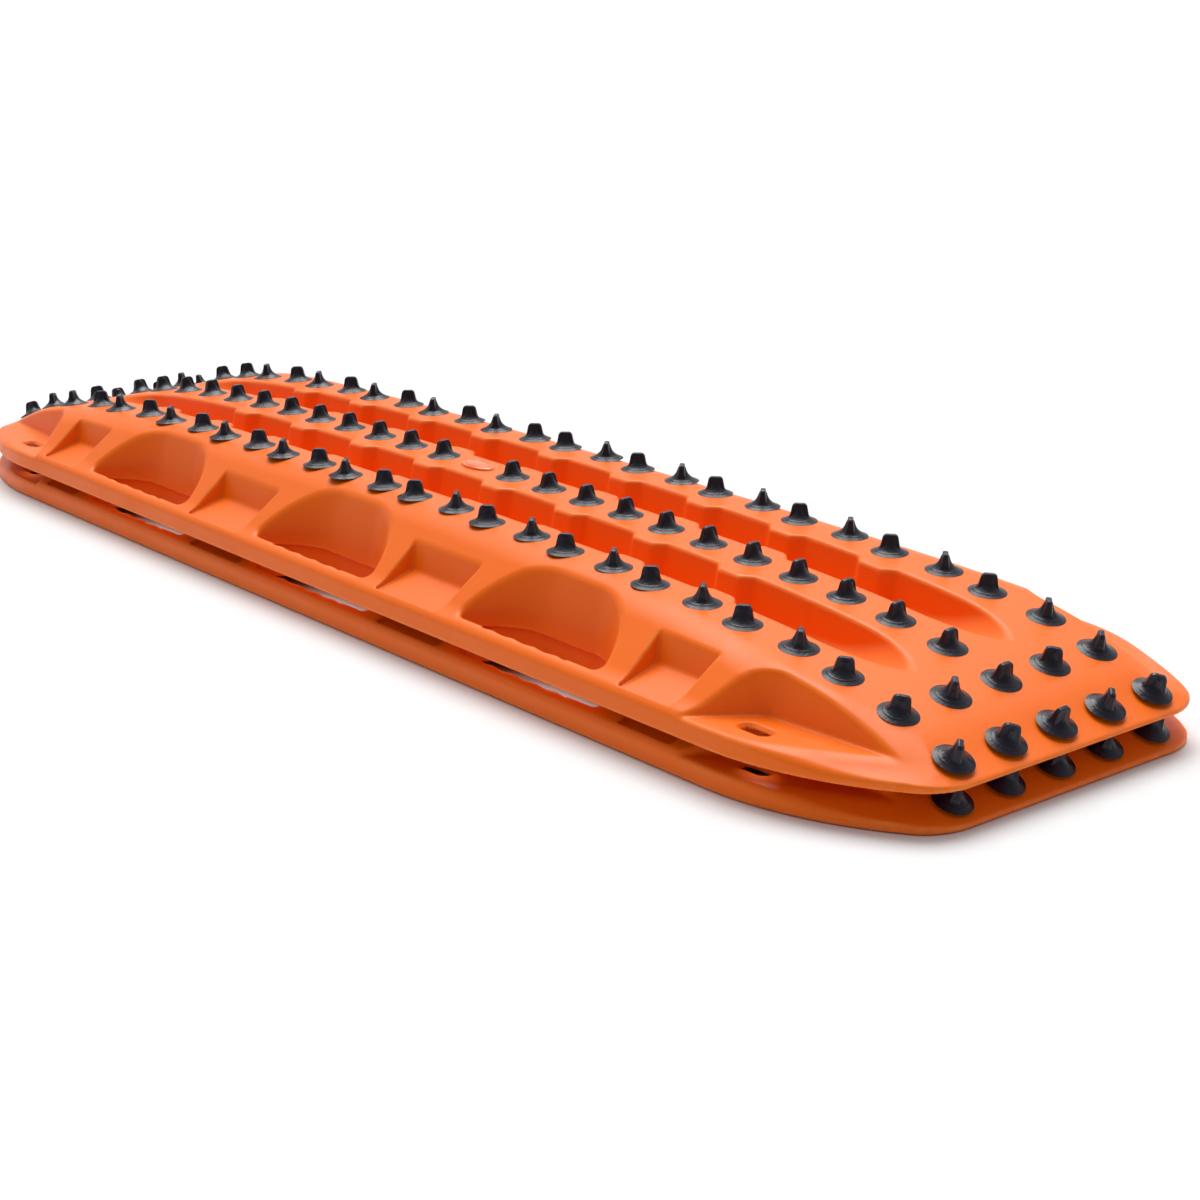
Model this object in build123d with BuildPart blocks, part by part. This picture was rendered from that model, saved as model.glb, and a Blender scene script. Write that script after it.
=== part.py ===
"""A nested pair of vehicle traction boards with screwed-on studs.

Two identical moulded boards sit one on top of the other.  +X runs along the
boards, +Z is up, and the origin is on the ground under the middle of the pair.
Every length is in millimetres.
"""
from math import asin, atan, cos, degrees, radians, sqrt, tan
import os

from build123d import *

os.makedirs("parts", exist_ok=True)

# ---------------------------------------------------------------- driving sizes
LENGTH = 1150.0
WIDTH = 322.0
DECK_HEIGHT = 57.0
WALL = 4.0
NEST_PITCH = 24.0
STUD_PITCH = 43.0
DRAFT = 12.0
POCKET_DRAFT = 17.0

# ---------------------------------------------------------------- board outline
NOSE_LENGTH = 142.0
NOSE_ARC_RADIUS = 215.0
NOSE_CORNER_RADIUS = 14.0
LIP_HEIGHT = 13.5
LIP_LAND = 6.0
FLANGE_RUN = 57.0
FLANGE_SLOPE = (DECK_HEIGHT - LIP_HEIGHT) / FLANGE_RUN
CROWN_DROP = 16.8
NOSE_EDGE_HEIGHT = 4.6
NOSE_DROP = DECK_HEIGHT - CROWN_DROP - NOSE_EDGE_HEIGHT
NOSE_POWER = 7
TOOL_TOP = DECK_HEIGHT + 3.0
CUT_CLEAR = 1.0

# ---------------------------------------------------------------- deck channels
CHANNEL_Y = 42.5
CHANNEL_HALF_WIDTH = 23.5
CHANNEL_FLOOR = NEST_PITCH
CHANNEL_END = 490.0
CHANNEL_TIP_HALF_WIDTH = 16.0
CHANNEL_TAPER_START = 430.0
RAMP_START = 425.0
RAMP_END = CHANNEL_END + 20.0
RAMP_RADIUS = 200.0
JOG_DEPTH = 8.0
JOG_TOP = 20.0
JOG_OFFSET = 8.0
JOG_ROWS = 8
RIB_THICKNESS = 4.0
RIB_HALF_WIDTH = 7.0
RIB_COUNT = 19

# ---------------------------------------------------------------- flange pockets
HANDLE_PITCH = 253.5
HANDLE_BACK_Y = 115.5
HANDLE_FRONT_Y = 150.0
HANDLE_BACK_HALF = 57.0
HANDLE_FRONT_HALF = 73.0
HANDLE_CORNER = 28.0
SKIRT_HEIGHT = 10.0
GRIP_WAVES = 4
GRIP_WAVE_LENGTH = 22.0
GRIP_WAVE_DEPTH = 2.5
WEDGES = ((HANDLE_PITCH / 2, 35.0), (1.48 * HANDLE_PITCH, 24.0))
WEDGE_BACK_Y = 124.0
WEDGE_BACK_Z = 22.5
WEDGE_FRONT_Y = 154.5
CORNER_FLOOR = LIP_HEIGHT
CORNER_POINTS = ((443.0, 119.0), (415.0, 154.0), (415.0, 166.0), (548.0, 166.0), (548.0, 111.0))
SLOT_X = 455.0
SLOT_Y = 138.5
SLOT_LENGTH = 22.0
SLOT_WIDTH = 8.0
SLOT_SINK = 2.5
SLOT_SINK_ANGLE = 44.0

# ---------------------------------------------------------------- studs and fixings
RAIL_Y = 85.0
RAIL_ROWS = 11
NOSE_ROW_Y = (-86.0, -43.0, 0.0, 43.0, 86.0)
ZIGZAG_Y = 3.5
ZIGZAG_X = 2.4
STUD_RADIUS = 10.0
STUD_DISC = 2.4
STUD_HEIGHT = 12.4
BLADE_BASE = 12.0
BLADE_TOP = 9.4
BLADE_THICKNESS = 3.0
FLARE_RADIUS = 7.0
FLARE_HEIGHT = 4.4
BUTTRESS_FOOT = 6.0
BUTTRESS_WIDTH = 3.2
SPIGOT_RADIUS = 3.7
SPIGOT_GAP = 0.3
STUD_BORE_RADIUS = 2.5
STUD_BORE_TOP = 6.0
WASHER_RADIUS = 7.0
WASHER_BORE = 2.7
WASHER_THICKNESS = 1.2
SCREW_RADIUS = 2.2
SCREW_TOP = 5.0
SCREW_HEAD_RADIUS = 4.5
SCREW_HEAD_HEIGHT = 3.0
SCREW_HEAD_ROUND = 1.2
SCREW_SOCKET_RADIUS = 1.5
SCREW_SOCKET_DEPTH = 1.8
BADGE_HALF_LENGTH = 17.0
BADGE_HALF_WIDTH = 9.0
BADGE_HEIGHT = 2.4
BADGE_ROUND = 1.6


def crown_height(x):
    """Height of the crowned deck curve above the board's base at a distance x from the middle."""
    reach = abs(x) / (LENGTH / 2)
    return DECK_HEIGHT - CROWN_DROP * reach**2 - NOSE_DROP * reach**NOSE_POWER


def deck_corners():
    """Deck line (x, z) of the front half: one flat seat per stud row, bent between the rows."""
    xs = [(row + 0.5) * STUD_PITCH for row in range(RAIL_ROWS + 2)] + [LENGTH / 2]
    return [(x, crown_height(x)) for x in xs]


def deck_facet(x):
    """The two ends (x, z) of the flat deck facet that holds the point x."""
    corners = deck_corners()
    corners = [(-cx, cz) for cx, cz in reversed(corners)] + corners
    for start, end in zip(corners, corners[1:]):
        if start[0] <= x <= end[0]:
            return start, end
    return corners[-2], corners[-1]


def deck_height(x):
    """Height of the faceted deck above the board's base at x."""
    (x0, z0), (x1, z1) = deck_facet(x)
    return z0 + (z1 - z0) * (x - x0) / (x1 - x0)


def deck_tilt(x):
    """Angle in degrees that the deck leans forward at x."""
    (x0, z0), (x1, z1) = deck_facet(x)
    return degrees(atan((z0 - z1) / (x1 - x0)))


def upright(faces):
    """The side faces among faces, leaving out the flat top and bottom."""
    return faces.filter_by(lambda face: abs(face.normal_at().Z) < 0.5)


# ---------------------------------------------------------------- board shell
def plan_outline(inset, z, corner_radius=0.0):
    """Plan outline of the board at height z, pulled in by inset."""
    arc_start = LENGTH / 2 - NOSE_LENGTH
    arc_center_y = NOSE_ARC_RADIUS - WIDTH / 2
    radius = NOSE_ARC_RADIUS - inset
    sweep_angle = degrees(asin((NOSE_LENGTH - inset) / radius))
    with BuildSketch(Plane.XY.offset(z)) as outline:
        with BuildLine():
            Line((0, arc_center_y - radius), (arc_start, arc_center_y - radius))
            nose = CenterArc((arc_start, arc_center_y), radius, -90, sweep_angle)
            Line(nose @ 1, (LENGTH / 2 - inset, 0))
            mirror(about=Plane.XZ)
            mirror(about=Plane.YZ)
        make_face()
        if corner_radius:
            ends = outline.vertices().filter_by(lambda end: abs(end.X) > LENGTH / 2 - inset - 1)
            fillet(ends.filter_by(lambda end: abs(end.Y) > 1), radius=corner_radius)
    return outline.sketch


def deck_prism(inset):
    """Everything under the crowned deck, with the deck lowered by inset."""
    front = [(x, z - inset) for x, z in deck_corners()]
    end_x, end_z = front[-1]
    past_end = 10.0
    front[-1] = (end_x + past_end, end_z - past_end * tan(radians(deck_tilt(end_x))))
    front.append((end_x + past_end, -CHANNEL_FLOOR))
    rear = [(-x, z) for x, z in reversed(front)]
    with BuildPart() as prism:
        with BuildSketch(Plane.XZ):
            Polygon(*rear, *front, align=None)
        extrude(amount=WIDTH, both=True)
    return prism.part


def channel_outline(y_sign):
    """Plan points of one deck channel at the tool top, with wall jogs between the studs.

    The jogs step from wall to wall so that each stud stands beside one of them.
    """
    inner = []
    outer = []
    jog_sides = ((-JOG_TOP / 2 - JOG_DEPTH, 0), (-JOG_TOP / 2, JOG_DEPTH),
                 (JOG_TOP / 2, JOG_DEPTH), (JOG_TOP / 2 + JOG_DEPTH, 0))
    for row in range(-JOG_ROWS, JOG_ROWS + 1):
        facing = 1 if (row % 2 == 0) == (y_sign > 0) else -1
        jog_x = row * STUD_PITCH + facing * JOG_OFFSET
        points = [(jog_x + dx, facing * (CHANNEL_HALF_WIDTH - depth)) for dx, depth in jog_sides]
        (outer if facing > 0 else inner).extend(points)
    ends = [(CHANNEL_TAPER_START, CHANNEL_HALF_WIDTH), (CHANNEL_END, CHANNEL_TIP_HALF_WIDTH)]
    left = [(-x, -half) for x, half in reversed(ends)]
    right = [(x, -half) for x, half in ends]
    back = [(x, half) for x, half in reversed(ends)]
    front = [(-x, half) for x, half in ends]
    loop = left + inner + right + back + outer[::-1] + front
    return [(x, y + y_sign * CHANNEL_Y) for x, y in loop]


def channel_tool(y_sign, inset):
    """Solid that cuts one drafted deck channel, grown by inset for the underside."""
    floor = CHANNEL_FLOOR - inset
    grow = inset / cos(radians(DRAFT))
    ramp_rise = RAMP_RADIUS - sqrt(RAMP_RADIUS**2 - (RAMP_END - RAMP_START) ** 2)
    ramp_end = (RAMP_END, floor + ramp_rise)
    with BuildPart() as channel:
        with BuildSketch(Plane.XY.offset(TOOL_TOP)):
            Polygon(*channel_outline(y_sign), align=None)
            if grow:
                offset(amount=grow, kind=Kind.INTERSECTION)
        extrude(amount=floor - TOOL_TOP - CUT_CLEAR)
        draft(upright(channel.faces()), Plane.XY.offset(TOOL_TOP), -DRAFT)
        with BuildSketch(Plane.XZ):
            with BuildLine():
                Line((0, floor), (RAMP_START, floor))
                RadiusArc((RAMP_START, floor), ramp_end, -RAMP_RADIUS)
                Polyline(ramp_end, (RAMP_END, TOOL_TOP + CUT_CLEAR), (0, TOOL_TOP + CUT_CLEAR))
                mirror(about=Plane.YZ)
            make_face()
        extrude(amount=WIDTH, both=True, mode=Mode.INTERSECT)
    return channel.part


def handle_tool(inset):
    """Drafted cutter for the hand opening centred on x = 0 in the near flange."""
    rise = TOOL_TOP - LIP_HEIGHT
    grow = rise * tan(radians(POCKET_DRAFT)) + inset / cos(radians(POCKET_DRAFT))
    front_y = HANDLE_FRONT_Y + (LIP_LAND if inset else 0)
    with BuildPart() as pocket:
        with BuildSketch(Plane.XY.offset(TOOL_TOP)) as mouth:
            with BuildLine():
                Polyline(
                    (-HANDLE_FRONT_HALF, -front_y),
                    (-HANDLE_BACK_HALF, -HANDLE_BACK_Y),
                    (HANDLE_BACK_HALF, -HANDLE_BACK_Y),
                    (HANDLE_FRONT_HALF, -front_y),
                    close=True,
                )
            make_face()
            offset(amount=grow, kind=Kind.INTERSECTION)
            fillet(mouth.vertices().group_by(Axis.Y)[-1], radius=HANDLE_CORNER + grow)
        extrude(amount=-TOOL_TOP - 2 * CUT_CLEAR)
        draft(upright(pocket.faces()), Plane.XY.offset(TOOL_TOP), -POCKET_DRAFT)
    return pocket.part


def wedge_tool(half_width, inset):
    """Cutter for one shallow wedge recess centred on x = 0 in the near flange."""
    lean = tan(radians(POCKET_DRAFT))
    back_y = WEDGE_BACK_Y - inset / cos(radians(POCKET_DRAFT))
    with BuildPart() as recess:
        with BuildSketch(Plane.YZ):
            Polygon(
                (-back_y + (TOOL_TOP - WEDGE_BACK_Z) * lean, TOOL_TOP),
                (-back_y, WEDGE_BACK_Z - inset),
                (-WEDGE_FRONT_Y, LIP_HEIGHT - inset),
                (-WEDGE_FRONT_Y, TOOL_TOP),
                align=None,
            )
        extrude(amount=half_width + inset, both=True)
    return recess.part


def corner_tool(inset):
    """Cutter for the three-sided recess at the near side of the front nose."""
    rise = TOOL_TOP - CORNER_FLOOR
    grow = rise * tan(radians(POCKET_DRAFT)) + inset / cos(radians(POCKET_DRAFT))
    with BuildPart() as recess:
        with BuildSketch(Plane.XY.offset(TOOL_TOP)):
            Polygon(*[(x, -y) for x, y in CORNER_POINTS], align=None)
            offset(amount=grow, kind=Kind.INTERSECTION)
        extrude(amount=-rise - inset)
        draft(upright(recess.faces()), Plane.XY.offset(TOOL_TOP), -POCKET_DRAFT)
    return recess.part


def flange_tool(inset):
    """The sloping flanges and everything inside them, lowered by inset at the underside."""
    drop = inset / cos(atan(FLANGE_SLOPE))
    base = Plane.XY.offset(LIP_HEIGHT - drop)
    with BuildPart() as flange:
        add(plan_outline(LIP_LAND, LIP_HEIGHT - drop))
        extrude(amount=DECK_HEIGHT - LIP_HEIGHT + drop)
        draft(upright(flange.faces()), base, degrees(atan(1 / FLANGE_SLOPE)))
    return flange.part


def board_form(inset):
    """The board's outside shape as a full solid, every face moved inward by inset."""
    base_z = -CUT_CLEAR if inset else 0
    with BuildPart() as form:
        add(plan_outline(inset, base_z, NOSE_CORNER_RADIUS - inset))
        extrude(amount=LIP_HEIGHT - inset - base_z)
        add(flange_tool(inset))
        add(deck_prism(inset), mode=Mode.INTERSECT)
        for side in (1, -1):
            add(channel_tool(side, inset), mode=Mode.SUBTRACT)
        for turn in (0, 180):
            with Locations(Location((0, 0, 0), (0, 0, turn))):
                for place in (-1, 0, 1):
                    with Locations((place * HANDLE_PITCH, 0)):
                        add(handle_tool(inset), mode=Mode.SUBTRACT)
                for center, half_width in WEDGES:
                    with Locations((center, 0), (-center, 0)):
                        add(wedge_tool(half_width, inset), mode=Mode.SUBTRACT)
                add(corner_tool(inset), mode=Mode.SUBTRACT)
        for flip in (Plane.XZ, Plane.YZ):
            add(mirror(corner_tool(inset), about=flip, mode=Mode.PRIVATE), mode=Mode.SUBTRACT)
    return form.part


def skirt_cutouts():
    """Plan shape of the spaces under the pocket walls, which stop above the ground."""
    back_y = HANDLE_BACK_Y - 2 * WALL
    front_y = HANDLE_FRONT_Y - LIP_LAND
    with BuildSketch() as cutouts:
        with GridLocations(HANDLE_PITCH, back_y + front_y, 3, 2):
            Rectangle(2 * (HANDLE_FRONT_HALF + LIP_LAND), front_y - back_y)
    return cutouts.sketch


def finger_scallops():
    """Plan shape of the scallops along the inside of every hand bar."""
    radius = (GRIP_WAVE_LENGTH**2 / 4 + GRIP_WAVE_DEPTH**2) / (2 * GRIP_WAVE_DEPTH)
    center_y = HANDLE_FRONT_Y + GRIP_WAVE_DEPTH - radius
    with BuildSketch() as scallops:
        with GridLocations(HANDLE_PITCH, 2 * center_y, 3, 2):
            with GridLocations(GRIP_WAVE_LENGTH, 0, GRIP_WAVES, 1):
                Circle(radius)
        Rectangle(LENGTH, 2 * (HANDLE_FRONT_Y - WALL), mode=Mode.SUBTRACT)
    return scallops.sketch


# ---------------------------------------------------------------- stud layout
def rail_is_broad(row):
    """Whether the stud of the near rail at this row has its blade turned to +45 degrees."""
    if row > 0:
        return row % 2 == 1
    return row % 2 == 0


def rail_stud(side, row):
    """Place (x, y, blade angle) of one stud on the near (side -1) or far (side 1) rail."""
    own_row = row if side < 0 else -row
    broad = rail_is_broad(own_row)
    pair_middle = 0.5 * -side
    if broad:
        shift_x = ZIGZAG_X if row < pair_middle else -ZIGZAG_X
        return (row * STUD_PITCH + shift_x, side * RAIL_Y, 45)
    shift_y = ZIGZAG_Y if row > 0 else -ZIGZAG_Y
    return (row * STUD_PITCH, side * RAIL_Y + shift_y, -45)


def rail_places(side, half):
    """Stud places of one half (half 1 is the +x end) of one rail."""
    rows = range(0, RAIL_ROWS + 1) if half > 0 else range(-RAIL_ROWS, 0)
    if side == 0:
        return [(row * STUD_PITCH, 0.0, 90) for row in rows if row != 0]
    return [rail_stud(side, row) for row in rows]


def nose_places(half):
    """Stud places of the two five-stud rows at one end of the board."""
    inner_angles = (45, -45, 90, 45, -45)
    outer_angles = (-45, 45, 90, -45, 45)
    places = []
    for row, angles in ((RAIL_ROWS + 1, inner_angles), (RAIL_ROWS + 2, outer_angles)):
        for y, angle in zip(NOSE_ROW_Y, angles):
            places.append((half * row * STUD_PITCH, half * y, angle))
    return places


def seat(place, height=0.0):
    """Location on the deck at a stud place, standing square to the crowned surface."""
    x, y, angle = place
    return Pos(0, 0, height) * Location((x, y, deck_height(x)), (0, deck_tilt(x), angle))


STUD_GROUPS = {
    "near_rail_rear": rail_places(-1, -1),
    "near_rail_front": rail_places(-1, 1),
    "middle_rail_rear": rail_places(0, -1),
    "middle_rail_front": rail_places(0, 1),
    "far_rail_rear": rail_places(1, -1),
    "far_rail_front": rail_places(1, 1),
    "rear_nose": nose_places(-1),
    "front_nose": nose_places(1),
}
ALL_SEATS = [seat(place) for places in STUD_GROUPS.values() for place in places]

outside = board_form(0)
cavity = board_form(WALL)

# A board: moulded skin, finger scallops, tie-down slots, nesting ribs and stud holes.
with BuildPart() as board_shell:
    add(outside)
    add(cavity, mode=Mode.SUBTRACT)
    with BuildSketch(Plane.XY.offset(-CUT_CLEAR)):
        add(finger_scallops())
    extrude(amount=LIP_HEIGHT + 2 * CUT_CLEAR, mode=Mode.SUBTRACT)
    with BuildSketch(Plane.XY.offset(-CUT_CLEAR)):
        add(skirt_cutouts())
    extrude(amount=SKIRT_HEIGHT + CUT_CLEAR, mode=Mode.SUBTRACT)
    # Countersunk oblong tie-down slots in the four corner recesses.
    with BuildSketch(Plane.XY.offset(CORNER_FLOOR)):
        with GridLocations(2 * SLOT_X, 2 * SLOT_Y, 2, 2):
            SlotOverall(SLOT_LENGTH, SLOT_WIDTH)
    extrude(amount=-WALL - CUT_CLEAR, mode=Mode.SUBTRACT)
    with BuildSketch(Plane.XY.offset(CORNER_FLOOR)):
        with GridLocations(2 * SLOT_X, 2 * SLOT_Y, 2, 2):
            SlotOverall(SLOT_LENGTH + 2 * SLOT_SINK, SLOT_WIDTH + 2 * SLOT_SINK)
    extrude(amount=-SLOT_SINK, taper=SLOT_SINK_ANGLE, mode=Mode.SUBTRACT)
    # Cross ribs under both channel floors; they reach down to the base plane.
    with BuildSketch(Plane.XY):
        with GridLocations(STUD_PITCH, 2 * CHANNEL_Y, RIB_COUNT, 2):
            Rectangle(RIB_THICKNESS, 2 * RIB_HALF_WIDTH)
    extrude(amount=CHANNEL_FLOOR - WALL / 2)
    # One clearance hole through the deck under each stud.
    with Locations(*ALL_SEATS):
        Cylinder(SPIGOT_RADIUS + SPIGOT_GAP, 4 * WALL, mode=Mode.SUBTRACT)

# A stud: round foot, two-step flare, tapered blade with a buttress down each broad face.
with BuildPart() as stud:
    with BuildSketch(Plane.XZ):
        Polygon(
            (0, 0),
            (STUD_RADIUS - 0.4, 0),
            (STUD_RADIUS, 0.8),
            (STUD_RADIUS - 0.9, STUD_DISC),
            (FLARE_RADIUS, FLARE_HEIGHT),
            (BLADE_THICKNESS / 2, STUD_HEIGHT - 2),
            (0, STUD_HEIGHT - 2),
            align=None,
        )
    revolve(axis=Axis.Z)
    with BuildSketch(Plane.XZ):
        Polygon(
            (-BLADE_BASE / 2, STUD_DISC / 2),
            (BLADE_BASE / 2, STUD_DISC / 2),
            (BLADE_TOP / 2, STUD_HEIGHT - 1),
            (BLADE_TOP / 2 - 1, STUD_HEIGHT),
            (1 - BLADE_TOP / 2, STUD_HEIGHT),
            (-BLADE_TOP / 2, STUD_HEIGHT - 1),
            align=None,
        )
    extrude(amount=BLADE_THICKNESS / 2, both=True)
    with BuildSketch(Plane.YZ):
        Polygon(
            (-BUTTRESS_FOOT, STUD_DISC / 2),
            (BUTTRESS_FOOT, STUD_DISC / 2),
            (BLADE_THICKNESS / 2, STUD_HEIGHT),
            (-BLADE_THICKNESS / 2, STUD_HEIGHT),
            align=None,
        )
    extrude(amount=BUTTRESS_WIDTH / 2, both=True)
    with Locations((0, 0, -WALL)):
        Cylinder(SPIGOT_RADIUS, WALL + STUD_DISC / 2, align=(Align.CENTER, Align.CENTER, Align.MIN))
        Cylinder(STUD_BORE_RADIUS, WALL + STUD_BORE_TOP, mode=Mode.SUBTRACT,
                 align=(Align.CENTER, Align.CENTER, Align.MIN))

# A washer under the deck, below the stud's spigot.
with BuildPart() as washer:
    with BuildSketch(Plane.XY.offset(-WALL - WASHER_THICKNESS)):
        Circle(WASHER_RADIUS)
        Circle(WASHER_BORE, mode=Mode.SUBTRACT)
    extrude(amount=WASHER_THICKNESS)

# A pan-head screw that comes up through the washer into the stud.
head_seat = -WALL - WASHER_THICKNESS
with BuildPart() as screw:
    with BuildSketch(Plane.XY.offset(head_seat - SCREW_HEAD_HEIGHT)):
        Circle(SCREW_HEAD_RADIUS)
    extrude(amount=SCREW_HEAD_HEIGHT)
    fillet(screw.edges().group_by(Axis.Z)[0], radius=SCREW_HEAD_ROUND)
    with BuildSketch(Plane.XY.offset(head_seat)):
        Circle(SCREW_RADIUS)
    extrude(amount=SCREW_TOP - head_seat)
    with BuildSketch(Plane.XY.offset(head_seat - SCREW_HEAD_HEIGHT)):
        RegularPolygon(SCREW_SOCKET_RADIUS, 6)
    extrude(amount=SCREW_SOCKET_DEPTH, mode=Mode.SUBTRACT)

# A plain domed oval badge with no marking, at the middle of the centre rail.
with BuildPart() as badge:
    with BuildSketch(Plane.XY.offset(deck_height(0))):
        Ellipse(BADGE_HALF_LENGTH, BADGE_HALF_WIDTH)
    extrude(amount=BADGE_HEIGHT)
    fillet(badge.edges().group_by(Axis.Z)[-1], radius=BADGE_ROUND)


def export_group(name, piece, seats):
    """Write one file holding a copy of the piece at every seat."""
    with BuildPart() as group:
        with Locations(*seats):
            add(piece)
    group.part.label = name
    export_step(group.part, f"parts/{name}.step")


for board, base in (("lower", 0.0), ("upper", NEST_PITCH)):
    export_group(f"{board}_board_shell", board_shell.part, [Pos(0, 0, base)])
    export_group(f"{board}_badge", badge.part, [Pos(0, 0, base)])
    for group_name, places in STUD_GROUPS.items():
        seats = [seat(place, base) for place in places]
        export_group(f"{board}_{group_name}_studs", stud.part, seats)
        export_group(f"{board}_{group_name}_washers", washer.part, seats)
        export_group(f"{board}_{group_name}_screws", screw.part, seats)
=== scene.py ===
"""Look of the nested pair of traction boards.

Each moulded piece is described by a signed distance in millimetres (negative inside)
and turned into a smooth mesh, so every edge has the rounding a moulding has.
"""
from math import atan, cos, radians, sin, sqrt, tan

import bpy
import numpy as np
from mathutils import Matrix, Vector


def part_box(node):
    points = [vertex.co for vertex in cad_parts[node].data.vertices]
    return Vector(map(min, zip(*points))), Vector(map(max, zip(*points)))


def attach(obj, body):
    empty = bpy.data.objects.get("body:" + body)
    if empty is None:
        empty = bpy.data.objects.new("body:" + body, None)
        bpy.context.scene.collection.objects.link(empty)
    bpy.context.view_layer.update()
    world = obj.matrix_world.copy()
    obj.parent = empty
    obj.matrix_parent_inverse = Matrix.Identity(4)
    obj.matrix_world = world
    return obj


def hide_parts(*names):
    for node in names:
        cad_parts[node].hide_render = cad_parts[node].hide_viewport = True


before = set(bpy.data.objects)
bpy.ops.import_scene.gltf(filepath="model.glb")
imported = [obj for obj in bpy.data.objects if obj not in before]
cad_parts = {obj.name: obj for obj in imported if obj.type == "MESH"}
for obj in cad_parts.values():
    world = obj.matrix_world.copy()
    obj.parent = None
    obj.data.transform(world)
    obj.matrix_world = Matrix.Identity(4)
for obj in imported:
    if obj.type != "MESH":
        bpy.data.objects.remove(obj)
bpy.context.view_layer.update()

# ---------------------------------------------------------------- sizes from the frame
MM = 0.001
shell_low, shell_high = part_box("lower_board_shell")
upper_low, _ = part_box("upper_board_shell")
HALF_LENGTH = (shell_high[0] - shell_low[0]) / 2 / MM
HALF_WIDTH = (shell_high[1] - shell_low[1]) / 2 / MM
DECK = (shell_high[2] - shell_low[2]) / MM
NEST_PITCH = (upper_low[2] - shell_low[2]) / MM
STUD_PITCH = HALF_LENGTH / 13.37
WALL = 4.0
NOSE_WALL_EXTRA = 1.8
NOSE_WALL_START = 480.0

LIP_HEIGHT = 13.5
LIP_LAND = 6.0
LIP_THINNING = 8.5
RIM_WIDENING = 11.0
LIP_CHANGE_START = 440.0
LIP_CHANGE_LENGTH = 110.0
LIP_DRAFT = 0.06
FLANGE_SLOPE = 0.763
NOSE_LENGTH = 142.0
NOSE_ARC_RADIUS = 215.0
NOSE_CORNER_RADIUS = 14.0
CROWN_DROP = 16.8
NOSE_EDGE_HEIGHT = 4.6
NOSE_DROP = DECK - CROWN_DROP - NOSE_EDGE_HEIGHT
NOSE_POWER = 7

CHANNEL_Y = 42.5
CHANNEL_HALF_WIDTH = 23.5
CHANNEL_DRAFT = radians(12)
CHANNEL_TOP = DECK + 3.0
CHANNEL_NARROWING = 9.0
CHANNEL_NARROWING_LENGTH = 75.0
CHANNEL_FILLET = 4.0
CHANNEL_END_FILLET = 16.0
FILLET_GROWTH_START = 400.0
FILLET_GROWTH_LENGTH = 60.0
# Shrinks the distance to a stepped wall, which is nearer than it measures straight across.
WALL_DISTANCE_FACTOR = 0.85
JOG_DEPTH = 8.0
JOG_HALF_TOP = 10.0
JOG_OFFSET = 8.0
LAST_JOG = 8.6
RAMP_START = 425.0
RAMP_RADIUS = 200.0

HANDLE_PITCH = 253.5
POCKET_DRAFT = radians(17)
HANDLE_BACK_Y = 115.5
HANDLE_BAR_Y = 150.0
HANDLE_BACK_HALF = 57.0
HANDLE_FRONT_HALF = 73.0
HANDLE_SIDE_LEAN = atan((HANDLE_FRONT_HALF - HANDLE_BACK_HALF) / (HANDLE_BAR_Y - HANDLE_BACK_Y))
HANDLE_CORNER = 30.0
HANDLE_BAR_CORNER = 7.0
FINGER_DEPTH = 2.5
FINGER_PITCH = 22.0
FINGERS_HALF = 44.0
# The hand bars are solid: outside this line, and this near a hand opening.
SOLID_BAR_EDGE = HANDLE_BAR_Y - 3.0
SOLID_BAR_REACH = 14.0
SKIRT_HEIGHT = 8.0
WEDGES = ((HANDLE_PITCH / 2, 35.0), (1.48 * HANDLE_PITCH, 24.0))
WEDGE_BACK_Y = 124.0
WEDGE_BACK_Z = 22.5
WEDGE_FLOOR_SLOPE = 0.295
WEDGE_SIDE_DRAFT = 0.12
CORNER_APEX = (443.0, 119.0)
CORNER_SHORT_WALL = (-0.781, -0.625)
CORNER_LONG_WALL = (-0.076, -0.997)
CORNER_SINK = 0.5
SLOT_X = 455.0
SLOT_Y = 138.5
SLOT_HALF_LENGTH = 7.0
SLOT_RADIUS = 4.0
SLOT_SINK = 3.0
SLOT_SINK_LIMIT = 4.0
RIB_HALF_WIDTH = 7.0
RIB_HALF_THICKNESS = 2.0
LAST_RIB = 9

RAIL_Y = 85.0
BROAD_STUD_SHIFT = 2.4
RAIL_ZIGZAG = 3.5
STUD_RADIUS = 9.6
STUD_HEIGHT = 12.4
FOOT_HEIGHT = 1.6


# ---------------------------------------------------------------- distance helpers
def rounded_max(a, b, radius):
    """Distance to what two shapes share, with the edge between them rounded to radius."""
    past_a = np.maximum(a + radius, 0)
    past_b = np.maximum(b + radius, 0)
    return np.minimum(np.maximum(a, b), -radius) + np.hypot(past_a, past_b)


def rounded_min(a, b, radius):
    """Distance to two shapes joined, with the corner between them filled to radius."""
    return -rounded_max(-a, -b, radius)


def soft_ramp(t, radius):
    """0 below 0 and t above 0, with the corner rounded."""
    return (np.hypot(t, radius) + t) / 2


def ease(t):
    """0 below 0, 1 above 1, and a smooth step between."""
    t = np.clip(t, 0, 1)
    return t * t * (3 - 2 * t)


# ---------------------------------------------------------------- stud layout
def crown(x):
    """Height of the deck surface over the board's base at x."""
    reach = np.abs(x) / HALF_LENGTH
    return DECK - CROWN_DROP * reach**2 - NOSE_DROP * reach**NOSE_POWER


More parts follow.
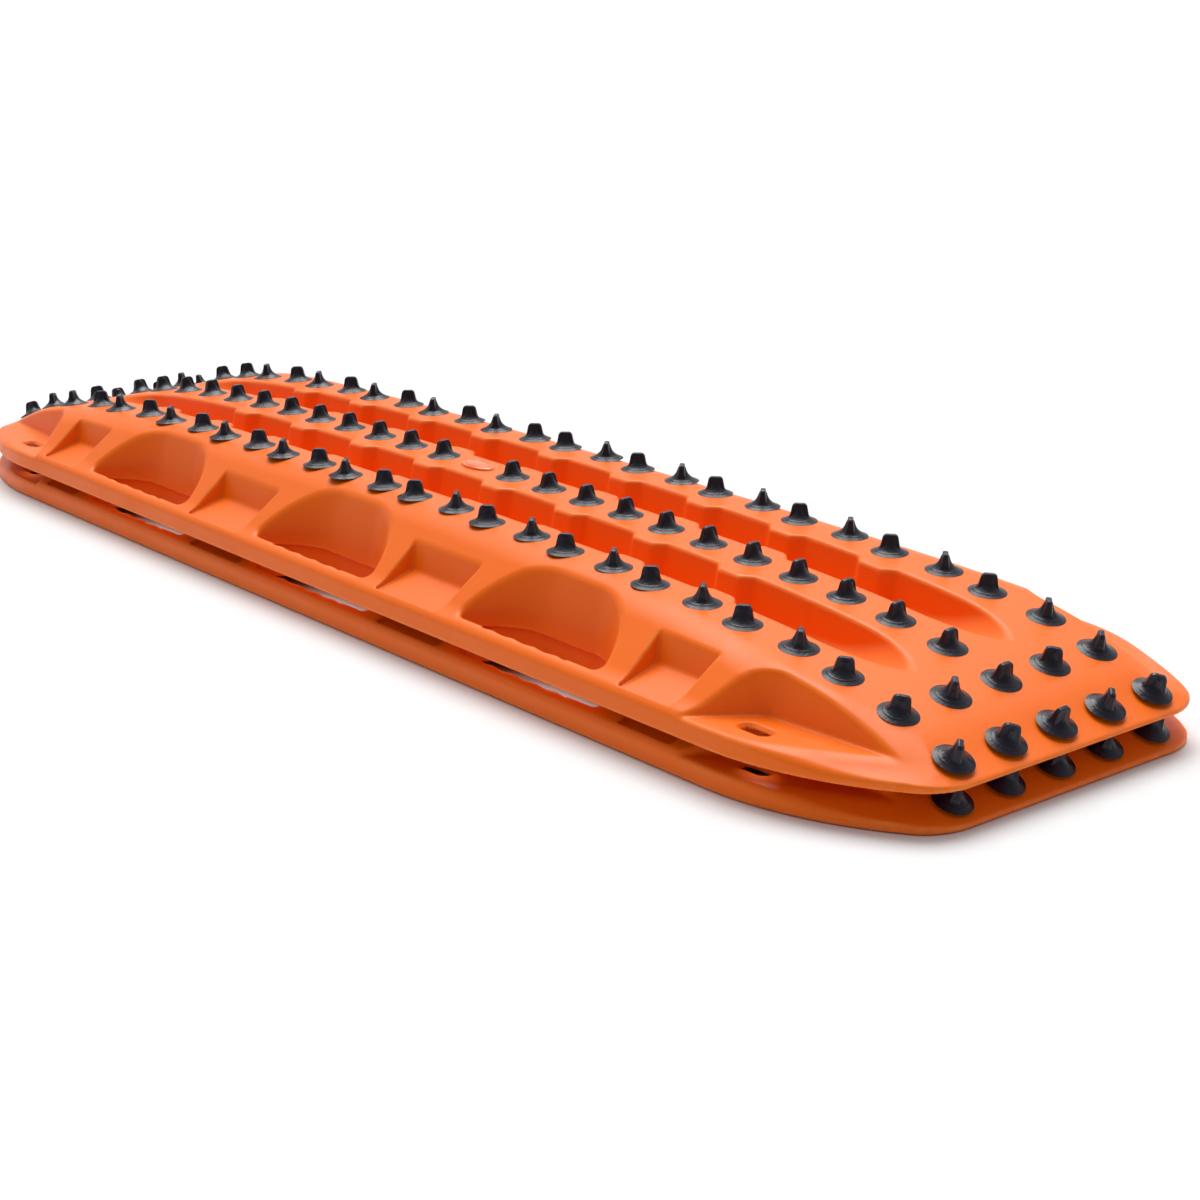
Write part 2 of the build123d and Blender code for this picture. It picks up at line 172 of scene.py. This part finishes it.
def rail_stud(side, row):
    """(x, y, blade angle) of a stud on the near (side -1) or far (side 1) rail."""
    own_row = row if side < 0 else -row
    broad = own_row % 2 == (1 if own_row > 0 else 0)
    if broad:
        shift = BROAD_STUD_SHIFT if row < -0.5 * side else -BROAD_STUD_SHIFT
        return row * STUD_PITCH + shift, side * RAIL_Y, 45
    return row * STUD_PITCH, side * RAIL_Y + (RAIL_ZIGZAG if row > 0 else -RAIL_ZIGZAG), -45


def stud_groups():
    """Stud places of each group, named as the CAD nodes are."""
    halves = {"front": range(0, 12), "rear": range(-11, 0)}
    groups = {}
    for half, rows in halves.items():
        for rail, side in (("near", -1), ("far", 1)):
            groups[f"{rail}_rail_{half}"] = [rail_stud(side, row) for row in rows]
        groups[f"middle_rail_{half}"] = [(row * STUD_PITCH, 0.0, 90) for row in rows if row]
    for half, sign in (("front", 1), ("rear", -1)):
        rows = ((12, (45, -45, 90, 45, -45)), (13, (-45, 45, 90, -45, 45)))
        groups[f"{half}_nose"] = [
            (sign * row * STUD_PITCH, sign * column * STUD_PITCH, angle)
            for row, angles in rows
            for column, angle in zip(range(-2, 3), angles)
        ]
    return groups


STUD_GROUPS = stud_groups()


# ---------------------------------------------------------------- board shape
def outline_distance(x, y):
    """Plan distance to the board's outline: straight sides, arched nose, rounded corners."""
    arc_start = HALF_LENGTH - NOSE_LENGTH
    arc_y = HALF_WIDTH - NOSE_ARC_RADIUS
    side = np.where(
        np.abs(x) < arc_start,
        np.abs(y) - HALF_WIDTH,
        np.hypot(np.abs(x) - arc_start, np.abs(y) - arc_y) - NOSE_ARC_RADIUS,
    )
    return rounded_max(side, np.abs(x) - HALF_LENGTH, NOSE_CORNER_RADIUS)


def lip_change(x):
    """How far the lip has changed from its side form (0) to its nose form (1) at x."""
    return ease((np.abs(x) - LIP_CHANGE_START) / LIP_CHANGE_LENGTH)


def lip_height(x):
    """Height of the outer lip, which thins towards the nose."""
    return LIP_HEIGHT - LIP_THINNING * lip_change(x)


def body_distance(x, y, z):
    """The board's outside before anything is sunk into it."""
    edge = outline_distance(x, y)
    over_lip = z - lip_height(x)
    flange = ((edge + LIP_LAND) * FLANGE_SLOPE + over_lip) / sqrt(1 + FLANGE_SLOPE**2)
    top = rounded_min(flange, over_lip, 8.0)
    reach = np.abs(x) / HALF_LENGTH
    nose_slope = NOSE_POWER * NOSE_DROP * reach**(NOSE_POWER - 1)
    slope = (2 * CROWN_DROP * reach + nose_slope) / HALF_LENGTH
    deck = (z - crown(x)) / np.sqrt(1 + slope**2)
    top = rounded_max(top, deck, 9.0)
    lip_round = 1.8 + 3.2 * ease((HALF_LENGTH - 20 - np.abs(x)) / 60)
    return rounded_max(edge + LIP_DRAFT * z, top, lip_round)


def jog_depth(x, facing, channel):
    """How far a channel wall steps inward at x; steps alternate from wall to wall."""
    along = (x - facing * JOG_OFFSET) / STUD_PITCH
    even_wall = (facing > 0) == (channel > 0)
    phase = along if even_wall else along - 1
    off_center = np.abs(phase - 2 * np.rint(phase / 2)) * STUD_PITCH
    climb = JOG_HALF_TOP + JOG_DEPTH - off_center
    depth = soft_ramp(climb, 1.5) - soft_ramp(climb - JOG_DEPTH, 1.5)
    return depth * ease((LAST_JOG - np.abs(along)) * 10)


def channel_distance(x, y, z, channel):
    """One deck channel (channel -1 near, 1 far), negative in its hollow."""
    off = y - channel * CHANNEL_Y
    narrowing = CHANNEL_NARROWING * ease((np.abs(x) - RAMP_START) / CHANNEL_NARROWING_LENGTH)
    draft = (CHANNEL_TOP - z) * tan(CHANNEL_DRAFT)
    walls = []
    for facing in (-1, 1):
        half_width = CHANNEL_HALF_WIDTH - narrowing - jog_depth(x, facing, channel) - draft
        walls.append((facing * off - half_width) * WALL_DISTANCE_FACTOR)
    wall = rounded_max(walls[0], walls[1], 1.0)
    past = np.clip(np.abs(x) - RAMP_START, 0, RAMP_RADIUS * 0.6)
    floor_z = NEST_PITCH + RAMP_RADIUS - np.sqrt(RAMP_RADIUS**2 - past**2)
    floor = (floor_z - z) * np.sqrt(1 - (past / RAMP_RADIUS) ** 2)
    growth = ease((np.abs(x) - FILLET_GROWTH_START) / FILLET_GROWTH_LENGTH)
    fillet = CHANNEL_FILLET + (CHANNEL_END_FILLET - CHANNEL_FILLET) * growth
    return rounded_max(wall, floor, fillet)


def off_nearest(x, pitch, last):
    """Distance along x to the nearest of the places 0, 1 to last pitches either way."""
    return np.abs(x - pitch * np.clip(np.rint(x / pitch), -last, last))


def handle_distance(x, y, z):
    """The nearest hand opening, negative in its hollow."""
    off = off_nearest(x, HANDLE_PITCH, 1)
    out = np.abs(y)
    back = HANDLE_BACK_Y - out
    side = (off - HANDLE_BACK_HALF) * cos(HANDLE_SIDE_LEAN)
    side = side - (out - HANDLE_BACK_Y) * sin(HANDLE_SIDE_LEAN)
    fingers = FINGER_DEPTH * np.abs(np.cos(off * np.pi / FINGER_PITCH)) * (off < FINGERS_HALF)
    front = out - HANDLE_BAR_Y - fingers * ease((LIP_HEIGHT + 6 - z) / 8)
    plan = rounded_max(rounded_max(back, side, HANDLE_CORNER), front, HANDLE_BAR_CORNER)
    return (plan - (z - LIP_HEIGHT) * tan(POCKET_DRAFT)) * cos(POCKET_DRAFT)


def skirt_distance(x, y, z):
    """The spaces under the pocket walls, which stop above the ground behind each hand bar."""
    off = off_nearest(x, HANDLE_PITCH, 1)
    out = np.abs(y)
    across = np.maximum(HANDLE_BACK_Y - 2 * WALL - out, out - HANDLE_BAR_Y + LIP_LAND)
    return np.maximum(np.maximum(across, off - HANDLE_FRONT_HALF - LIP_LAND), z - SKIRT_HEIGHT)


def wedge_distance(x, y, z):
    """The four wedge recesses of each flange, negative in their hollows."""
    out = np.abs(y)
    back = (WEDGE_BACK_Y - (z - WEDGE_BACK_Z) * tan(POCKET_DRAFT) - out) * cos(POCKET_DRAFT)
    floor_z = WEDGE_BACK_Z - (out - WEDGE_BACK_Y) * WEDGE_FLOOR_SLOPE
    floor = (floor_z - z) / sqrt(1 + WEDGE_FLOOR_SLOPE**2)
    depth = rounded_max(rounded_max(back, floor, 1.5), out - HALF_WIDTH + LIP_LAND, 1.0)
    draft = WEDGE_SIDE_DRAFT * (z - LIP_HEIGHT)
    sides = [np.abs(np.abs(x) - middle) - half - draft for middle, half in WEDGES]
    return rounded_max(np.minimum(*sides), depth, 1.2)


def corner_distance(x, y, z):
    """The four three-sided recesses beside the noses, negative in their hollows."""
    from_apex_x = np.abs(x) - CORNER_APEX[0]
    from_apex_y = np.abs(y) - CORNER_APEX[1]
    short_wall, long_wall = (
        out_x * from_apex_x + out_y * from_apex_y
        for out_x, out_y in (CORNER_SHORT_WALL, CORNER_LONG_WALL)
    )
    plan = rounded_max(short_wall, long_wall, 2.5) - (z - LIP_HEIGHT) * tan(POCKET_DRAFT)
    return rounded_max(plan * cos(POCKET_DRAFT), LIP_HEIGHT - CORNER_SINK - z, 2.0)


def slot_distance(x, y, z):
    """The countersunk oblong tie-down slots, negative in their hollows."""
    past_end = np.maximum(np.abs(np.abs(x) - SLOT_X) - SLOT_HALF_LENGTH, 0)
    reach = np.hypot(past_end, np.abs(y) - SLOT_Y)
    return reach - SLOT_RADIUS - np.clip(z - LIP_HEIGHT + SLOT_SINK, 0, SLOT_SINK_LIMIT)


def rib_distance(x, y, z):
    """The cross ribs under both channel floors, which end on the base plane."""
    off = off_nearest(x, STUD_PITCH, LAST_RIB)
    across = np.abs(np.abs(y) - CHANNEL_Y) - RIB_HALF_WIDTH
    plan = rounded_max(off - RIB_HALF_THICKNESS, across, 0.8)
    return rounded_max(plan, np.maximum(z - NEST_PITCH + 2, -z), 0.6)


def board_distance(p):
    """Distance to the finished moulding at points p, with x, y and z on the last axis."""
    x, y, z = p[..., 0], p[..., 1], p[..., 2]
    skin = body_distance(x, y, z)
    for channel in (-1, 1):
        skin = rounded_max(skin, -channel_distance(x, y, z, channel), 2.6)
    skin = rounded_max(skin, -handle_distance(x, y, z), 3.2)
    skin = rounded_max(skin, -wedge_distance(x, y, z), 1.6)
    skin = rounded_max(skin, -corner_distance(x, y, z), 2.6)
    wall = WALL + NOSE_WALL_EXTRA * ease((np.abs(x) - NOSE_WALL_START) / 50)
    near_handle = SOLID_BAR_REACH - handle_distance(x, y, z)
    solid_bar = np.minimum(np.abs(y) - SOLID_BAR_EDGE, near_handle)
    solid_rim = outline_distance(x, y) + WALL + RIM_WIDENING * lip_change(x)
    inner = np.maximum(skin + wall, np.maximum(solid_bar, solid_rim))
    shell = rounded_max(skin, -inner, 1.0)
    shell = rounded_max(shell, -skirt_distance(x, y, z), 1.0)
    shell = rounded_max(shell, -slot_distance(x, y, z), 0.6)
    shell = rounded_max(shell, -z, 1.8)
    return rounded_min(shell, rib_distance(x, y, z), 1.0)


# ---------------------------------------------------------------- stud and badge shapes
def stud_distance(p):
    """One stud standing on z = 0, its blade along x."""
    x, y, z = p[..., 0], p[..., 1], p[..., 2]
    reach = np.hypot(x, y)
    rise = np.clip(z / STUD_HEIGHT, 0, 1)
    foot = rounded_max(reach - STUD_RADIUS, z - FOOT_HEIGHT, 0.8)
    flare_radius = 1.8 + 7.9 * np.exp(-(z - 1.4) / 4.0)
    flare = rounded_max((reach - flare_radius) * 0.5, z - STUD_HEIGHT + 1.6, 1.2)
    blade = rounded_max(np.abs(x) - 7.2 + 2.4 * rise, z - STUD_HEIGHT, 2.4)
    blade = rounded_max(blade, np.abs(y) - 3.0 + 1.3 * rise, 0.8)
    buttress = rounded_max(np.abs(x) - 1.5, np.abs(y) - 5.5 + 4.2 * rise, 0.5)
    buttress = rounded_max(buttress, z - STUD_HEIGHT + 0.3, 0.6)
    upright = rounded_min(blade, buttress, 0.4)
    solid = rounded_min(rounded_min(flare, upright, 0.9), foot, 0.5)
    return np.maximum(solid, -z)


def badge_distance(p):
    """A plain domed oval with a fine groove round it."""
    x, y, z = p[..., 0], p[..., 1], p[..., 2]
    oval = (np.hypot(x / 17.0, y / 9.0) - 1) * 10.0
    dome = z - 2.4 + 0.004 * (x**2 + 2 * y**2)
    solid = rounded_max(oval, dome, 1.2)
    groove = 0.6 - np.hypot(oval + 2.6, dome)
    return np.maximum(rounded_max(solid, groove, 0.3), -z - 1.0)


# ---------------------------------------------------------------- distance to mesh
CORNERS = np.array([(i, j, k) for i in (0, 1) for j in (0, 1) for k in (0, 1)])
CELL_EDGES = [(a, b) for a in range(8) for b in range(a + 1, 8)
              if np.abs(CORNERS[a] - CORNERS[b]).sum() == 1]


def sample(distance, low, counts, step):
    """Distance at every grid point, worked out a slab at a time to save memory."""
    field = np.empty(counts, np.float32)
    ys = low[1] + step * np.arange(counts[1])
    zs = low[2] + step * np.arange(counts[2])
    for start in range(0, counts[0], 32):
        xs = low[0] + step * np.arange(start, min(start + 32, counts[0]))
        slab = np.stack(np.meshgrid(xs, ys, zs, indexing="ij"), axis=-1)
        field[start:start + 32] = distance(slab)
    return field


def gradient(distance, points, reach=0.05):
    """Slope of the distance at each point."""
    slopes = []
    for axis in np.eye(3):
        slopes.append(distance(points + reach * axis) - distance(points - reach * axis))
    return np.stack(slopes, axis=-1) / (2 * reach)


def surface_mesh(name, distance, low, high, step):
    """Mesh of the zero surface: one vertex per crossed cell, pulled onto the true surface."""
    low = np.array(low, float)
    counts = np.ceil((np.array(high) - low) / step).astype(int) + 1
    field = sample(distance, low, counts, step)
    inside = field < 0
    cells = tuple(counts - 1)
    filled = np.zeros(cells, np.uint8)
    for i, j, k in CORNERS:
        filled += inside[i:i + cells[0], j:j + cells[1], k:k + cells[2]]
    active = np.argwhere((filled > 0) & (filled < 8))
    number = np.full(cells, -1, np.int64)
    number[tuple(active.T)] = np.arange(len(active))
    at = active[:, None, :] + CORNERS[None]
    values = field[at[..., 0], at[..., 1], at[..., 2]]
    total = np.zeros((len(active), 3))
    crossings = np.zeros(len(active))
    for a, b in CELL_EDGES:
        va, vb = values[:, a], values[:, b]
        crossed = (va < 0) != (vb < 0)
        t = np.where(crossed, va / np.where(crossed, va - vb, 1), 0)[:, None]
        total += np.where(crossed[:, None], CORNERS[a] + t * (CORNERS[b] - CORNERS[a]), 0)
        crossings += crossed
    points = low + step * (active + total / crossings[:, None])
    for _ in range(3):
        slope = gradient(distance, points)
        move = distance(points)[:, None] * slope / np.maximum((slope**2).sum(-1), 0.2)[:, None]
        moved = points - np.clip(move, -step / 2, step / 2)
        closer = np.abs(distance(moved)) < np.abs(distance(points))
        points = np.where(closer[:, None], moved, points)
    normals = gradient(distance, points, 0.4)
    normals /= np.maximum(np.linalg.norm(normals, axis=1), 1e-6)[:, None]
    return new_mesh(name, points * MM, quads(inside, number), normals)


def cast_mesh(name, distance, center_z, reach, elevations, sectors):
    """Mesh of a shape that is star-shaped round (0, 0, center_z), found along rays from there."""
    azimuths = np.arange(sectors) * 2 * np.pi / sectors
    up, turn = np.meshgrid(np.radians(elevations), azimuths, indexing="ij")
    rays = np.stack([np.cos(up) * np.cos(turn), np.cos(up) * np.sin(turn), np.sin(up)], axis=-1)
    start = np.array((0, 0, center_z))
    near = np.zeros(up.shape)
    far = np.full(up.shape, reach)
    for _ in range(24):
        middle = (near + far) / 2
        inside = distance(start + middle[..., None] * rays) < 0
        near = np.where(inside, middle, near)
        far = np.where(inside, far, middle)
    points = (start + near[..., None] * rays).reshape(-1, 3)
    normals = gradient(distance, points)
    normals /= np.linalg.norm(normals, axis=1)[:, None]
    ring, sector = np.meshgrid(np.arange(len(elevations) - 1), np.arange(sectors), indexing="ij")
    following = (sector + 1) % sectors
    corners = [ring * sectors + sector, ring * sectors + following,
               (ring + 1) * sectors + following, (ring + 1) * sectors + sector]
    faces = np.stack([corner.ravel() for corner in corners], axis=-1)
    return new_mesh(name, points * MM, faces, normals)


def quads(inside, number):
    """Faces between the four cells round every grid edge that crosses the surface."""
    faces = []
    for axis in range(3):
        u, v = (axis + 1) % 3, (axis + 2) % 3
        here = np.moveaxis(inside, (axis, u, v), (0, 1, 2))
        cell = np.moveaxis(number, (axis, u, v), (0, 1, 2))
        start, end = here[:-1, 1:-1, 1:-1], here[1:, 1:-1, 1:-1]
        for leaving, order in ((start & ~end, (0, 1, 2, 3)), (~start & end, (3, 2, 1, 0))):
            a, b, c = np.nonzero(leaving)
            ring = (cell[a, b, c], cell[a, b + 1, c], cell[a, b + 1, c + 1], cell[a, b, c + 1])
            faces.append(np.stack([ring[n] for n in order], axis=-1))
    return np.concatenate(faces)


def new_mesh(name, points, faces, normals):
    """Blender mesh from arrays, shaded with the exact surface normals."""
    mesh = bpy.data.meshes.new(name)
    mesh.vertices.add(len(points))
    mesh.vertices.foreach_set("co", points.astype(np.float32).ravel())
    mesh.loops.add(faces.size)
    mesh.loops.foreach_set("vertex_index", faces.astype(np.int32).ravel())
    mesh.polygons.add(len(faces))
    mesh.polygons.foreach_set("loop_start", np.arange(0, faces.size, faces.shape[1], dtype=np.int32))
    mesh.update(calc_edges=True)
    mesh.validate()
    mesh.polygons.foreach_set("use_smooth", np.ones(len(mesh.polygons), bool))
    if len(mesh.vertices) == len(normals):
        mesh.normals_split_custom_set_from_vertices(normals.astype(np.float32))
    return mesh


def mesh_arrays(mesh):
    """Vertices, four-sided faces and normals of a mesh made here."""
    points = np.empty(len(mesh.vertices) * 3, np.float32)
    mesh.vertices.foreach_get("co", points)
    faces = np.empty(len(mesh.loops), np.int32)
    mesh.loops.foreach_get("vertex_index", faces)
    normals = np.empty(len(mesh.loops) * 3, np.float32)
    mesh.corner_normals.foreach_get("vector", normals)
    by_vertex = np.zeros((len(mesh.vertices), 3), np.float32)
    by_vertex[faces] = normals.reshape(-1, 3)
    return points.reshape(-1, 3), faces.reshape(-1, 4), by_vertex


# ---------------------------------------------------------------- materials
def shader(name):
    """New material, its node tree and its main shader."""
    material = bpy.data.materials.new(name)
    material.use_nodes = True
    tree = material.node_tree
    return material, tree, tree.nodes["Principled BSDF"]


def node(tree, kind, inputs=(), **settings):
    """Adds a node with its settings and input values."""
    made = tree.nodes.new(kind)
    for key, value in settings.items():
        setattr(made, key, value)
    for key, value in dict(inputs).items():
        made.inputs[key].default_value = value
    return made


def noise(tree, place, scale, detail=3.0):
    """Noise over the object's own coordinates, scale in waves per metre."""
    made = node(tree, "ShaderNodeTexNoise", {"Scale": scale, "Detail": detail})
    tree.links.new(place.outputs["Object"], made.inputs["Vector"])
    return made.outputs["Fac"]


def remap(tree, source, low, high, to_low, to_high):
    """Maps a value from one range to another, held at the ends."""
    made = node(tree, "ShaderNodeMapRange",
                {"From Min": low, "From Max": high, "To Min": to_low, "To Max": to_high})
    tree.links.new(source, made.inputs["Value"])
    return made.outputs["Result"]


def blend(tree, factor, first, second, mode="MIX"):
    """Colour mix; first is a socket or colour, second likewise, factor a socket or number."""
    made = node(tree, "ShaderNodeMix", data_type="RGBA", blend_type=mode)
    for socket, value in ((made.inputs[0], factor), (made.inputs[6], first), (made.inputs[7], second)):
        if isinstance(value, bpy.types.NodeSocket):
            tree.links.new(value, socket)
        else:
            socket.default_value = value
    return made.outputs[2]


def bump(tree, height, strength, distance, below=None):
    """Bump from a height, optionally on top of another bump."""
    made = node(tree, "ShaderNodeBump", {"Strength": strength, "Distance": distance})
    tree.links.new(height, made.inputs["Height"])
    if below:
        tree.links.new(below, made.inputs["Normal"])
    return made.outputs["Normal"]


def worn_plastic_with_painted_light(name, colour, deep_tone_and_shade, edge_wear_and_highlight_colour, roughness, shine, grain, edge_wear_and_highlight_strength=0.5):
    """Moulded plastic: cloudy colour, pale edges that are partly rubbed wear and partly painted
    highlight, painted shade darkening the hollows, fine grain.
    """
    material, tree, main = shader(name)
    place = node(tree, "ShaderNodeTexCoord")
    point = node(tree, "ShaderNodeNewGeometry").outputs["Pointiness"]
    cloud = noise(tree, place, 9.0, 4.0)
    tint = blend(tree, remap(tree, cloud, 0.35, 0.65, 0.0, 0.35), colour, deep_tone_and_shade)
    # Painted shade: hollows and creases are pulled towards the deep tone, standing in for the shade
    # that falls there.
    hollow = remap(tree, point, 0.44, 0.49, 0.45, 0.0)
    tint = blend(tree, hollow, tint, deep_tone_and_shade)
    rub = noise(tree, place, 120.0, 5.0)
    # Pale edges: partly rubbed wear, partly a painted highlight along convex rims.
    edge = node(tree, "ShaderNodeMath", operation="MULTIPLY")
    tree.links.new(remap(tree, point, 0.515, 0.56, 0.0, edge_wear_and_highlight_strength), edge.inputs[0])
    tree.links.new(remap(tree, rub, 0.35, 0.6, 0.3, 1.0), edge.inputs[1])
    tint = blend(tree, edge.outputs[0], tint, edge_wear_and_highlight_colour)
    tree.links.new(tint, main.inputs["Base Color"])
    patch = noise(tree, place, 35.0, 5.0)
    tree.links.new(remap(tree, patch, 0.3, 0.7, roughness - 0.06, roughness + 0.07),
                   main.inputs["Roughness"])
    ripple = bump(tree, noise(tree, place, 25.0, 2.0), 0.25, 0.0006)
    waves, depth = grain
    tree.links.new(bump(tree, noise(tree, place, waves, 3.0), 0.4, depth, ripple),
                   main.inputs["Normal"])
    main.inputs["Specular IOR Level"].default_value = shine
    return material


def plated_steel(name):
    """Zinc-plated steel with faint turning marks."""
    material, tree, main = shader(name)
    place = node(tree, "ShaderNodeTexCoord")
    cloud = noise(tree, place, 60.0, 4.0)
    tint = blend(tree, cloud, (0.42, 0.42, 0.41, 1), (0.62, 0.62, 0.6, 1))
    tree.links.new(tint, main.inputs["Base Color"])
    main.inputs["Metallic"].default_value = 1.0
    tree.links.new(remap(tree, noise(tree, place, 300.0), 0.3, 0.7, 0.28, 0.45),
                   main.inputs["Roughness"])
    tree.links.new(bump(tree, noise(tree, place, 1500.0), 0.2, 0.0001), main.inputs["Normal"])
    return material


def pale_floor(name):
    """Matt white studio floor."""
    material, tree, main = shader(name)
    place = node(tree, "ShaderNodeTexCoord")
    cloud = noise(tree, place, 1.5)
    tree.links.new(blend(tree, cloud, (0.78, 0.78, 0.78, 1), (0.82, 0.82, 0.82, 1)),
                   main.inputs["Base Color"])
    main.inputs["Roughness"].default_value = 0.9
    main.inputs["Specular IOR Level"].default_value = 0.1
    return material


# Second colour: the cloudy deeper tone, also used as painted shade in hollows. Third colour: the pale
# edge colour, partly wear and partly painted highlight.
ORANGE = worn_plastic_with_painted_light("orange_nylon", (0.93, 0.155, 0.003, 1), (0.88, 0.145, 0.002, 1),
                      (1.0, 0.33, 0.085, 1), 0.4, 0.22, (1100.0, 0.00012))
GLOSSY_ORANGE = worn_plastic_with_painted_light("glossy_orange", (0.95, 0.17, 0.008, 1), (0.85, 0.11, 0.003, 1),
                             (1.0, 0.36, 0.12, 1), 0.12, 0.7, (1100.0, 0.00002))
BLACK = worn_plastic_with_painted_light("blue_black_nylon", (0.01, 0.0085, 0.019, 1), (0.005, 0.0045, 0.01, 1),
                     (0.05, 0.044, 0.075, 1), 0.32, 0.3, (480.0, 0.0005), 0.8)
STEEL = plated_steel("zinc_plate")


# ---------------------------------------------------------------- pieces
def place_piece(name, mesh, material, body, nodes, base=0.0):
    """Puts a mesh in the scene as one piece that stands for CAD nodes and rides on a body."""
    piece = bpy.data.objects.new(name, mesh)
    bpy.context.collection.objects.link(piece)
    piece.location.z = base * MM
    if not mesh.materials:
        mesh.materials.append(material)
    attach(piece, body)
    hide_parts(*nodes)
    return piece


def stud_group_mesh(name, stud, places):
    """All the studs of one group in one mesh, each standing square to the deck."""
    points, faces, normals = stud
    all_points, all_faces, all_normals = [], [], []
    for index, (x, y, angle) in enumerate(places):
        tilt = atan(float(crown(x - 0.5) - crown(x + 0.5)))
        turn = Matrix.Rotation(tilt, 3, "Y") @ Matrix.Rotation(radians(angle), 3, "Z")
        turn = np.array(turn)
        seat = np.array((x, y, float(crown(x)))) * MM
        all_points.append(points @ turn.T + seat)
        all_faces.append(faces + index * len(points))
        all_normals.append(normals @ turn.T)
    return new_mesh(name, np.concatenate(all_points), np.concatenate(all_faces),
                    np.concatenate(all_normals))


BOARD_STEP = 1.8
BADGE_STEP = 0.5
STUD_SECTORS = 72
STUD_ELEVATIONS = np.concatenate([
    np.linspace(-60, -4, 3), np.linspace(-3, 9, 13),
    np.linspace(12, 66, 18), np.linspace(69, 89.5, 9)])
board_mesh = surface_mesh("traction_board", board_distance,
                          (-HALF_LENGTH - 6, -HALF_WIDTH - 6, -4.3),
                          (HALF_LENGTH + 6, HALF_WIDTH + 6, DECK + 5), BOARD_STEP)
stud_mesh = cast_mesh("stud", stud_distance, 0.8, 20.0, STUD_ELEVATIONS, STUD_SECTORS)
badge_mesh = surface_mesh("badge", badge_distance, (-19, -11, -2.1), (19, 11, 4), BADGE_STEP)
stud_arrays = mesh_arrays(stud_mesh)
group_meshes = {name: stud_group_mesh(f"{name}_studs", stud_arrays, places)
                for name, places in STUD_GROUPS.items()}

for board, base in (("lower", 0.0), ("upper", NEST_PITCH)):
    body = f"{board}_board"
    place_piece(f"{board}_board_moulding", board_mesh, ORANGE, body,
                [f"{board}_board_shell"], base)
    place_piece(f"{board}_plain_badge", badge_mesh, GLOSSY_ORANGE, body,
                [f"{board}_badge"], base + DECK)
    for group, mesh in group_meshes.items():
        place_piece(f"{board}_{group}_stud_row", mesh, BLACK, body,
                    [f"{board}_{group}_studs"], base)
        for fixing in ("washers", "screws"):
            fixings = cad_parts[f"{board}_{group}_{fixing}"]
            fixings.data.materials.clear()
            fixings.data.materials.append(STEEL)

# ---------------------------------------------------------------- floor, light and camera
scene = bpy.context.scene
FLOOR_HALF = 30.0
FLOOR_GAP = 0.0004
SKY_DIRECTION = (0.45, -0.35, -1.0)
BRIGHT_SIDE = (-0.74, 0.6, 0.3)
CAMERA_AZIMUTH = radians(51.07)
CAMERA_ELEVATION = radians(17.53)
CAMERA_ROLL = radians(-0.57)
CAMERA_PLACE = Vector((1.3894, -1.0069, 0.5171))
CAMERA_LENS = 71.3


def lay_floor():
    """Wide pale floor just under the boards."""
    corners = [(-FLOOR_HALF, -FLOOR_HALF, 0), (FLOOR_HALF, -FLOOR_HALF, 0),
               (FLOOR_HALF, FLOOR_HALF, 0), (-FLOOR_HALF, FLOOR_HALF, 0)]
    mesh = bpy.data.meshes.new("floor")
    mesh.from_pydata(corners, [], [(0, 1, 2, 3)])
    mesh.materials.append(pale_floor("studio_floor"))
    floor = bpy.data.objects.new("floor", mesh)
    scene.collection.objects.link(floor)
    floor.location.z = -FLOOR_GAP


def hang_sky_panel():
    """Broad soft light from above."""
    sun = bpy.data.lights.new("sky_panel", "SUN")
    sun.energy = 2.9
    sun.angle = radians(40)
    sky_panel = bpy.data.objects.new("sky_panel", sun)
    scene.collection.objects.link(sky_panel)
    sky_panel.rotation_euler = Vector(SKY_DIRECTION).to_track_quat("-Z", "Y").to_euler()


def fill_world():
    """White surroundings, brighter towards one side."""
    world = bpy.data.worlds.new("studio")
    world.use_nodes = True
    tree = world.node_tree
    background = tree.nodes["Background"]
    toward = node(tree, "ShaderNodeVectorMath", {1: BRIGHT_SIDE}, operation="DOT_PRODUCT")
    place = node(tree, "ShaderNodeTexCoord")
    tree.links.new(place.outputs["Generated"], toward.inputs[0])
    tree.links.new(remap(tree, toward.outputs["Value"], -0.3, 0.95, 0.3, 0.85),
                   background.inputs["Strength"])
    background.inputs["Color"].default_value = (1, 1, 1, 1)
    scene.world = world


def aim_camera():
    """Camera standing where the photo was taken from."""
    back = Vector((sin(CAMERA_AZIMUTH) * cos(CAMERA_ELEVATION),
                   -cos(CAMERA_AZIMUTH) * cos(CAMERA_ELEVATION), sin(CAMERA_ELEVATION)))
    right = Vector((cos(CAMERA_AZIMUTH), sin(CAMERA_AZIMUTH), 0))
    level = Matrix((right, back.cross(right), back)).transposed()
    rolled = level @ Matrix.Rotation(CAMERA_ROLL, 3, "Z")
    lens = bpy.data.cameras.new("photo_camera")
    lens.sensor_width = 36.0
    lens.lens = CAMERA_LENS
    camera = bpy.data.objects.new("photo_camera", lens)
    scene.collection.objects.link(camera)
    camera.matrix_world = Matrix.Translation(CAMERA_PLACE) @ rolled.to_4x4()
    scene.camera = camera


lay_floor()
hang_sky_panel()
fill_world()
aim_camera()
scene.view_settings.view_transform = "Standard"
